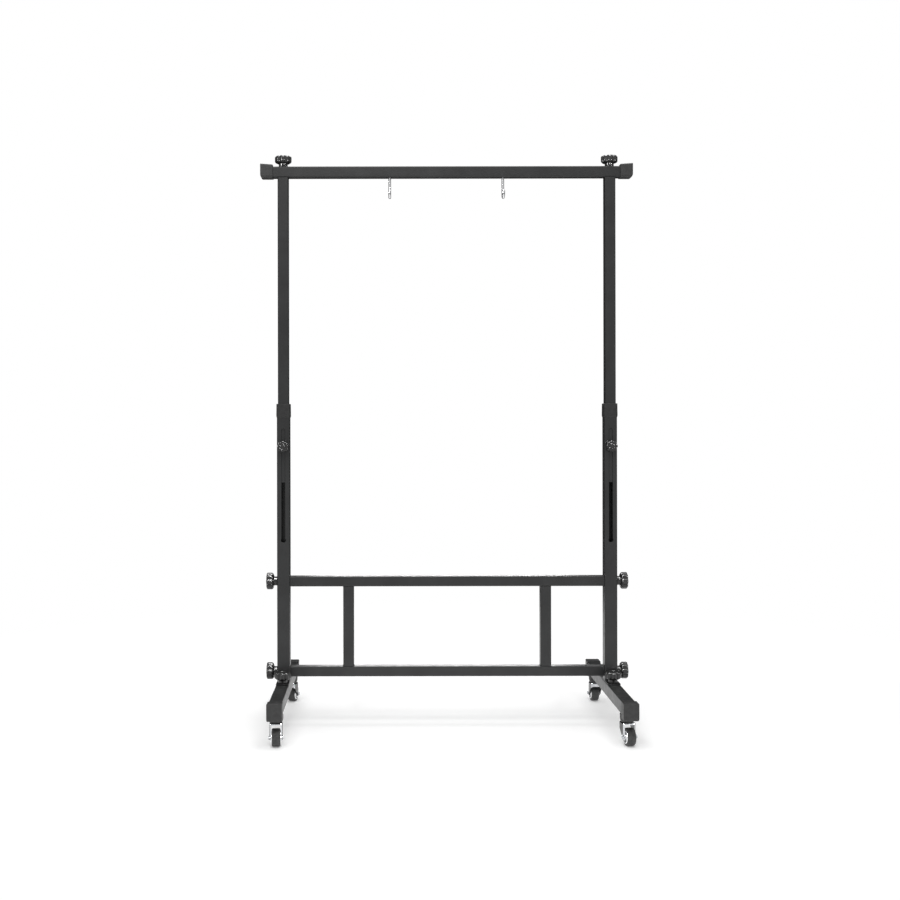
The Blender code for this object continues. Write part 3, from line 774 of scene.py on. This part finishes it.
def fork(node, placement):
    """Pressed fork: a domed crown with turned-down edges and two legs that reach to the axle."""
    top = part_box(node)[1].z
    half = FORK_INNER / 2 + FORK_SHEET
    shell = [(0.010, 0)]
    for angle in range(0, 91, 10):
        turn = math.radians(angle)
        inset = FORK_BEND * (1 - math.cos(turn))
        shell.append((top - FORK_BEND * (1 - math.sin(turn)), inset))
    rings = []
    for z, e in shell:
        plan = rounded((-half + e, FORK_BACK + e), (half - e, FORK_FRONT - e),
                       FORK_CORNER - e * 0.6)
        rings.append(ring(plan, z))
    outer = loft(node, rings)
    inside = FORK_INNER / 2
    ceiling = top - FORK_CROWN
    rings = []
    for z, e in ((0.005, 0), (ceiling - 0.0035, 0), (ceiling - 0.0015, 0.0006), (ceiling, 0.0022)):
        plan = rounded((-inside + e, FORK_BACK + FORK_CROWN + e),
                       (inside - e, FORK_FRONT - FORK_CROWN + e * 0.2), 0.0026)
        rings.append(ring(plan, z))
    cavity = loft("cavity", rings)
    skirt_front = top - SKIRT_FRONT
    skirt_back = top - SKIRT_BACK
    reach = half + PUNCH
    outline = [Vector((FORK_BACK - 0.001, top + 0.002)), Vector((FORK_BACK - 0.001, skirt_back))]
    outline += arc((FORK_BACK + 0.0045, skirt_back - 0.001), 0.0035, 150, 60, 4)
    outline += arc((TRAIL, WHEEL_RADIUS), FORK_TIP, 205, 160, 24)
    outline += [Vector((TRAIL + FORK_TIP - 0.0012, WHEEL_RADIUS + 0.012)),
                Vector((FORK_FRONT + 0.001, skirt_front - 0.004)),
                Vector((FORK_FRONT + 0.001, top + 0.002))]
    side = loft("side", [[Vector((x, p.x, p.y)) for p in outline] for x in (-reach, reach)])

    def opening(name, y_start, y_stop, skirt):
        """Cutter between the legs, from below the wheel's axle up to a turned-down edge."""
        corners = ((y_start, 0.004), (y_stop, 0.004), (y_stop, skirt), (y_start, skirt))
        return loft(name, [[Vector((x, y, z)) for y, z in corners]
                           for x in (-inside + FORK_BRIDGE, inside - FORK_BRIDGE)])

    mouth = opening("mouth", FORK_FRONT - 0.006, FORK_FRONT + 0.02, skirt_front)
    heel = opening("heel", FORK_BACK - 0.02, FORK_BACK + 0.006, skirt_back)
    king = drill((0, 0, top - 0.02), Z_AXIS, KING_RADIUS + GAP, 0.03)
    axle = drill((-reach, TRAIL, WHEEL_RADIUS), X_AXIS, AXLE_RADIUS + GAP, 2 * reach)
    data = boolean(outer, cavity, mouth, heel, king, axle)
    data = boolean(data, side, operation="INTERSECT")
    data.transform(placement)
    piece(f"{node}_pressing", data, "bright_zinc", node, node, sharp=30)


def wheel(place, placement):
    """Tyre with rounded shoulders, dished chrome wheel, and a hexagon axle bolt and nut."""
    half = WHEEL_WIDTH / 2
    seat = HUB_RADIUS + GAP
    tread = [(seat, -half + 0.0014), (0.0198, -half + 0.0012), (0.0203, -half + 0.0004),
             (0.0212, -half), (0.0222, -half + 0.0001), (0.0233, -half + 0.0007),
             (0.0241, -half + 0.0018), (0.02465, -half + 0.0034), (0.0249, -half + 0.0056),
             (0.02495, -0.0005), (WHEEL_RADIUS, -0.0003)]
    tread += [(radius, -z) for radius, z in reversed(tread)]
    on_side = Matrix.Rotation(math.radians(90), 4, "Y")
    spin = placement @ Matrix.Translation((0, TRAIL, WHEEL_RADIUS)) @ on_side
    node = f"caster_tyre_{place}"
    piece(f"{node}_tread", turned(node, tread, 96, True, spin), "tyre_rubber", node, node)
    bore = AXLE_RADIUS + GAP
    face = [(bore, -0.0134), (0.0062, -0.0134), (0.0070, -0.0131), (0.0075, -0.0122),
            (0.0079, -0.0104), (0.0090, -0.0096), (0.0122, -0.0096), (0.0136, -0.0103),
            (0.0144, -0.0120), (0.0150, -0.0130), (0.0160, -0.0135), (0.0172, -0.0135),
            (0.0182, -0.0131), (0.0187, -0.0124), (HUB_RADIUS, -0.0112)]
    face += [(radius, -z) for radius, z in reversed(face)]
    node = f"caster_hub_{place}"
    piece(f"{node}_dish", turned(node, face, 72, True, spin), "chrome", node, node, sharp=40)
    node = f"caster_axle_{place}"
    reach = FORK_INNER / 2 + FORK_SHEET + GAP
    bolt = turned(node, [(AXLE_RADIUS * 0.8, -reach - 0.0031),
                         (AXLE_RADIUS, -reach - 0.0026), (AXLE_RADIUS, reach + 0.0028),
                         (AXLE_RADIUS * 0.85, reach + 0.0032)], 32)
    parts = [bolt]
    for way in (-1, 1):
        rings = []
        for out, share in ((0, 0.90), (0.0004, 1), (0.0026, 1), (0.0031, 0.88)):
            hexagon = circle(AXLE_HEAD_RADIUS * share, 6)
            rings.append(ring(hexagon, way * (reach + out)))
        parts.append(loft(node, rings))
    data = joined(node, parts)
    data.transform(spin)
    piece(f"{node}_bolt", data, "zinc", node, node, sharp=25)


def caster(place):
    """One caster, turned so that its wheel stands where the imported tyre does."""
    swivel = middle(f"caster_stem_{place}")
    contact = middle(f"caster_tyre_{place}")
    heading = math.atan2(contact.y - swivel.y, contact.x - swivel.x)
    turn = Matrix.Rotation(heading - math.pi / 2, 4, "Z")
    placement = Matrix.Translation((swivel.x, swivel.y, 0)) @ turn
    stem_and_cup(f"caster_stem_{place}")
    fork(f"caster_fork_{place}", placement)
    wheel(place, placement)


# ---------------------------------------------------------------- the whole object
for side, sign in SIDES.items():
    post_low, post_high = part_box(f"lower_post_{side}")
    x = middle(f"lower_post_{side}").x
    reach = (post_high.x - x) + PUNCH
    through = [drill((x - reach, 0, middle(f"{level}_rail").z), X_AXIS, STUD_RADIUS + GAP,
                     2 * reach) for level in LEVELS]
    tube(f"lower_post_{side}", *slot_cutters(side), *through)
    upper_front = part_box(f"upper_post_{side}")[0].y
    lock_z = middle(f"slot_knob_{side}").z
    tube(f"upper_post_{side}", drill((x, upper_front - PUNCH, lock_z), Y_AXIS,
                                     STUD_RADIUS + GAP, 2 * PUNCH))
    dress(f"post_plug_{side}", "zinc")
    dress(f"hook_nut_{side}", "zinc")
    tube(f"strut_{side}")
    beam_low, beam_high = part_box(f"foot_beam_{side}")
    holes = []
    for end in ENDS:
        knob_y = middle(f"base_knob_{end}_{side}").y
        stem_y = middle(f"caster_stem_{end}_{side}").y
        holes.append(drill((x, knob_y, beam_high.z - PUNCH), Z_AXIS, STUD_RADIUS + GAP,
                           2 * PUNCH))
        holes.append(drill((x, stem_y, beam_low.z - PUNCH), Z_AXIS, STEM_RADIUS + GAP,
                           2 * PUNCH))
    tube(f"foot_beam_{side}", *holes)
    foot_plate(f"foot_plate_{side}", side)
    collar(f"collar_{side}", side)
    inset = CORNER + 0.0005
    welds = [bead((post_low.x + inset, y, post_low.z), (post_high.x - inset, y, post_low.z),
                  (0, way, 0), Z_AXIS) for y, way in ((post_low.y, -1), (post_high.y, 1))]
    piece(f"post_weld_{side}", joined("post_weld", welds), "black_paint", f"lower_post_{side}")
    strut_low, strut_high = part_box(f"strut_{side}")
    welds = []
    for z, up in ((strut_low.z - GAP, 1), (strut_high.z + GAP, -1)):
        for edge, way in ((strut_low.x, -1), (strut_high.x, 1)):
            welds.append(bead((edge, strut_low.y + inset, z), (edge, strut_high.y - inset, z),
                              (way, 0, 0), (0, 0, up)))
    piece(f"strut_weld_{side}", joined("strut_weld", welds), "black_paint", f"strut_{side}")
    for end, way in ENDS.items():
        end_cap(f"foot_cap_{end}_{side}", f"foot_beam_{side}", Vector((0, way, 0)), *FOOT_CAP)
        knob(f"base_knob_{end}_{side}", Z_AXIS, BIG_KNOB)
        caster(f"{end}_{side}")
    end_cap(f"bar_cap_{side}", "top_bar", Vector((sign, 0, 0)), *BAR_CAP)
    for level in LEVELS:
        knob(f"side_knob_{level}_{side}", (sign, 0, 0), BIG_KNOB)
    knob(f"top_knob_{side}", Z_AXIS, BIG_KNOB)
    knob(f"slot_knob_{side}", -Y_AXIS, SMALL_KNOB)
    hook(f"hook_{side}")
for level in LEVELS:
    tube(f"{level}_rail", plated=True)
bar_low, bar_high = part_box("top_bar")
bar_holes = []
for side in SIDES:
    bar_holes.append(drill((middle(f"top_knob_{side}").x, 0, bar_low.z - PUNCH), Z_AXIS,
                           STUD_RADIUS + GAP, bar_high.z - bar_low.z + 2 * PUNCH))
    bar_holes.append(drill((middle(f"hook_{side}").x, 0, bar_low.z - PUNCH), Z_AXIS,
                           HOOK_WIRE + GAP, 2 * PUNCH))
tube("top_bar", *bar_holes)


# ---------------------------------------------------------------- floor, light and camera
FLOOR_RADIUS = 2.3
SWEEP_START = 0.9           # where the floor begins to glow into the white surround
SWEEP_END = 1.7
FLOOR_FILL = 0.18           # even glow of the lit floor, which keeps its shadows pale
SURROUND_GLOW = 1.02        # strength of the white that the floor runs into
SKY_LEAN = (0.0, -0.6, 0.8)     # where the surround is brightest
WHITE = (1.0, 1.0, 1.0, 1.0)
LENS = 46.56
SENSOR = 36.0
CAMERA_SHIFT = (0.068, -0.0247)
CAMERA_PLACE = (-0.174, -3.5, 0.8836)
CAMERA_ROLL = -0.0017


def floor():
    """Pale round floor that glows into the white surround."""
    mesh = bmesh.new()
    bmesh.ops.create_circle(mesh, cap_ends=True, cap_tris=True, segments=96, radius=FLOOR_RADIUS)
    data = bpy.data.meshes.new("studio_floor")
    mesh.to_mesh(data)
    mesh.free()
    made, tree, shader, place = finish_nodes("studio_floor", 0.0)
    tone = ramp(tree, noise(tree, place, 3, 3), grey(0.865), grey(0.88))
    tree.links.new(tone, shader.inputs["Base Color"])
    shader.inputs["Roughness"].default_value = 0.9
    shader.inputs["Specular IOR Level"].default_value = 0.1
    shader.inputs["Emission Color"].default_value = WHITE
    shader.inputs["Emission Strength"].default_value = FLOOR_FILL
    glow = tree.nodes.new("ShaderNodeEmission")
    glow.inputs["Strength"].default_value = SURROUND_GLOW
    away = tree.nodes.new("ShaderNodeVectorMath")
    away.operation = "LENGTH"
    tree.links.new(place, away.inputs[0])
    share = tree.nodes.new("ShaderNodeMapRange")
    share.inputs["From Min"].default_value = SWEEP_START
    share.inputs["From Max"].default_value = SWEEP_END
    tree.links.new(away.outputs["Value"], share.inputs["Value"])
    mix = tree.nodes.new("ShaderNodeMixShader")
    tree.links.new(share.outputs["Result"], mix.inputs["Fac"])
    tree.links.new(shader.outputs["BSDF"], mix.inputs[1])
    tree.links.new(glow.outputs["Emission"], mix.inputs[2])
    tree.links.new(mix.outputs["Shader"], tree.nodes["Material Output"].inputs["Surface"])
    data.materials.append(made)
    ground = bpy.data.objects.new("studio_floor", data)
    scene.collection.objects.link(ground)


def surround():
    """White behind the object; its light comes from the front and above, hardly from behind."""
    world = bpy.data.worlds.new("studio")
    scene.world = world
    world.use_nodes = True
    tree = world.node_tree
    back = tree.nodes["Background"]
    place = tree.nodes.new("ShaderNodeTexCoord").outputs["Generated"]
    lean = tree.nodes.new("ShaderNodeVectorMath")
    lean.operation = "DOT_PRODUCT"
    lean.inputs[1].default_value = SKY_LEAN
    tree.links.new(place, lean.inputs[0])
    shift = tree.nodes.new("ShaderNodeMath")
    shift.inputs[1].default_value = 0.5
    tree.links.new(lean.outputs["Value"], shift.inputs[0])
    sky = ramp(tree, shift.outputs["Value"], grey(0.03), grey(0.62), 0.25, 0.95)
    seen = tree.nodes.new("ShaderNodeLightPath").outputs["Is Camera Ray"]
    mix = tree.nodes.new("ShaderNodeMix")
    mix.data_type = "RGBA"
    tree.links.new(seen, mix.inputs["Factor"])
    tree.links.new(sky, mix.inputs["A"])
    mix.inputs["B"].default_value = WHITE
    tree.links.new(mix.outputs["Result"], back.inputs["Color"])


def softbox(name, location, target, width, height, power):
    """Rectangular lamp that faces the target."""
    data = bpy.data.lights.new(name, "AREA")
    data.shape = "RECTANGLE"
    data.size = width
    data.size_y = height
    data.energy = power
    made = bpy.data.objects.new(name, data)
    made.location = location
    aim = Vector(target) - Vector(location)
    made.rotation_euler = aim.to_track_quat("-Z", "Y").to_euler()
    scene.collection.objects.link(made)
    return made


def camera():
    data = bpy.data.cameras.new("camera")
    data.lens = LENS
    data.sensor_width = SENSOR
    data.shift_x, data.shift_y = CAMERA_SHIFT
    made = bpy.data.objects.new("camera", data)
    upright = Matrix.Rotation(math.radians(90), 4, "X")
    roll = Matrix.Rotation(CAMERA_ROLL, 4, "Z")
    made.matrix_world = Matrix.Translation(CAMERA_PLACE) @ upright @ roll
    scene.collection.objects.link(made)
    scene.camera = made


floor()
surround()
softbox("overhead", (0, -0.3, 3.4), (0, 0, 0), 3.4, 3.0, 78)
softbox("front_high", (-0.5, -2.4, 3.0), (0, 0, 0.6), 0.50, 0.40, 14)
# Each group of lamps reaches only its own pieces, as their glints in the photo ask for.
strips = {
    "rails": [
        softbox("rail_back", (0.10, 2.6, 0.80), (0.10, 0, 0.4), 1.3, 0.30, 12),
    ],
    "hooks": [
        softbox("hook_side", (-2.9, -2.3, 1.7), (0, 0, 1.0), 0.25, 1.2, 32),
    ],
    "shiny": [
        softbox("strip_left", (-2.9, -2.3, 1.7), (0, 0, 1.0), 0.45, 1.2, 140),
        softbox("strip_right", (2.6, -2.5, 1.5), (0, 0, 0.8), 0.40, 1.2, 130),
        softbox("strip_top", (0, -0.7, 3.1), (0, 0, 0.8), 1.6, 0.35, 170),
        softbox("strip_near", (0.25, -3.3, 1.5), (0, 0, 1.0), 0.16, 1.1, 60),
        softbox("strip_above", (0, -2.1, 2.8), (0, 0, 1.0), 1.8, 0.12, 60),
    ],
}
shiny_ends = ("_head", "_stud", "_pressing", "_dish", "_bolt")
reached = {
    "rails": [f"{level}_rail_tube" for level in LEVELS],
    "hooks": [f"hook_{side}_bar" for side in SIDES],
    "shiny": [made.name for made in scene.objects if made.name.endswith(shiny_ends)],
}
for group, lamps in strips.items():
    lit = bpy.data.collections.new(group)
    for name in reached[group]:
        lit.objects.link(bpy.data.objects[name])
    for lamp in lamps:
        lamp.light_linking.receiver_collection = lit
camera()
scene.view_settings.view_transform = "Standard"
